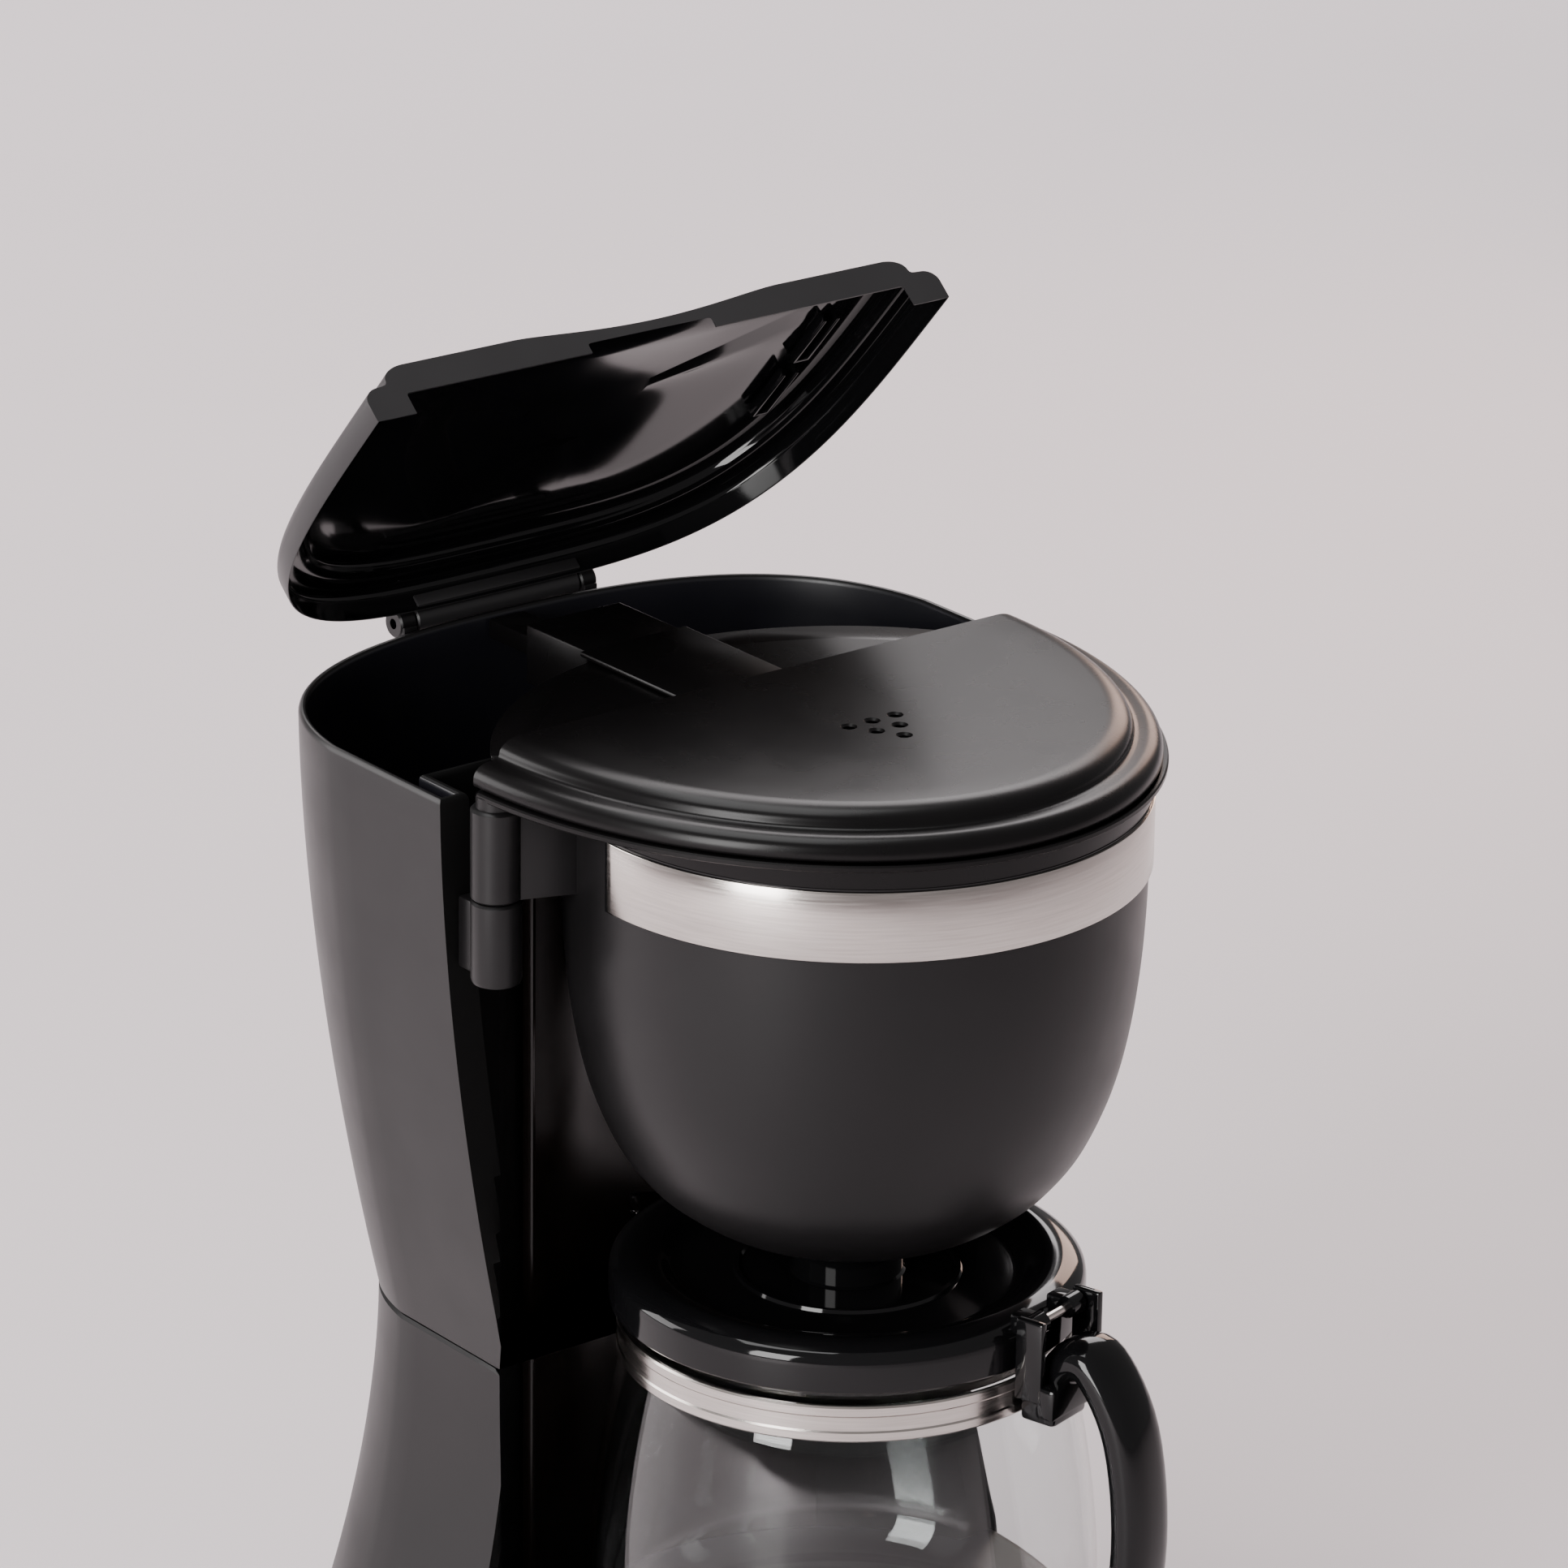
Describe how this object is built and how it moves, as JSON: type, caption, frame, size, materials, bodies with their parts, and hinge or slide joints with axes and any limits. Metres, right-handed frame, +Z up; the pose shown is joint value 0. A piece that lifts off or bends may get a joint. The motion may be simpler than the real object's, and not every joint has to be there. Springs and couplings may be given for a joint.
{
  "type": "drip coffee maker",
  "caption": "Countertop drip coffee maker with a lidded water tank, a round swing-out brew basket with a steel band, a hot plate and a glass carafe.",
  "frame": {"origin": "centre of the footprint on the worktop, under the machine with its lid half open", "axes": "+Z up, -Y out of the front where the carafe slides out, +X to the machine's right seen from its front"},
  "size_m": [0.197, 0.2624, 0.3976],
  "materials": {
    "satin_black": "moulded plastic with a fine satin grain",
    "gloss_black": "polished moulded plastic",
    "gloss_brown": "polished dark brown-black plastic",
    "matt_black": "matt moulded plastic",
    "brushed_steel": "brushed along its length",
    "zinc": "zinc plated",
    "aluminium": "as cast",
    "silicone": "translucent white silicone",
    "rubber": "matt rubber",
    "non_stick": "non-stick coated aluminium",
    "clear_glass": "clear blown borosilicate glass"
  },
  "bodies": {
    "housing": {"upper_housing": "satin_black", "lower_housing": "satin_black", "base_cover": "matt_black", "foot_1": "rubber", "foot_2": "rubber", "foot_3": "rubber", "foot_4": "rubber", "base_screw_1": "zinc", "base_screw_2": "zinc", "base_screw_3": "zinc", "base_screw_4": "zinc", "column_panel": "gloss_brown", "front_cover": "satin_black", "lid_hinge_pin": "brushed_steel", "head_plate": "satin_black", "spray_head": "matt_black", "water_channel": "satin_black", "hinge_bracket": "satin_black", "basket_hinge_pin": "brushed_steel", "hot_plate": "non_stick", "heating_element": "aluminium", "heater_clamp": "zinc", "clamp_screw": "zinc", "thermostat": "aluminium", "thermal_fuse": "silicone", "riser_tube": "matt_black", "riser_grommet": "silicone", "inlet_hose": "silicone", "outlet_hose": "silicone", "check_valve": "matt_black", "hose_clip_1": "zinc", "hose_clip_2": "zinc", "hose_clip_3": "zinc", "hose_clip_4": "zinc", "switch_bezel": "gloss_black", "cord_gland": "rubber"},
    "lid": {"tank_lid": "satin_black"},
    "basket": {"basket_bowl": "satin_black", "steel_band": "brushed_steel", "filter_basket": "matt_black", "valve_cage": "matt_black", "drip_spring": "brushed_steel"},
    "valve": {"drip_plunger": "matt_black", "drip_seal": "silicone"},
    "carafe": {"carafe_glass": "clear_glass", "carafe_collar": "brushed_steel", "collar_screw": "zinc", "carafe_handle": "gloss_black", "carafe_lid": "gloss_black", "carafe_lid_pin": "brushed_steel"},
    "rocker": {"rocker_switch": "gloss_black"}
  },
  "joints": [
    {"name": "lid_hinge", "type": "hinge", "parent": "housing", "child": "lid", "pos_m": [0, 0.1243, 0.2995], "axis": [-1, 0, 0], "range_deg": [-48.5, 46.5]},
    {"name": "basket_swing", "type": "hinge", "parent": "housing", "child": "basket", "pos_m": [-0.08902, -0.00018, 0.285], "axis": [0, 0, -1], "range_deg": [0, 100]},
    {"name": "drip_valve", "type": "slide", "parent": "basket", "child": "valve", "axis": [0, 0, 1], "range_m": [0, 0.003], "stiffness_N_per_m": 400, "springref_m": -0.003, "deforming": ["drip_spring"]},
    {"name": "carafe_slide", "type": "slide", "parent": "housing", "child": "carafe", "axis": [0, -1, 0], "range_m": [0, 0.2]},
    {"name": "switch_rocker", "type": "hinge", "parent": "housing", "child": "rocker", "pos_m": [0, -0.1172, 0.022], "axis": [-1, 0, 0], "range_deg": [0, 12]}
  ]
}
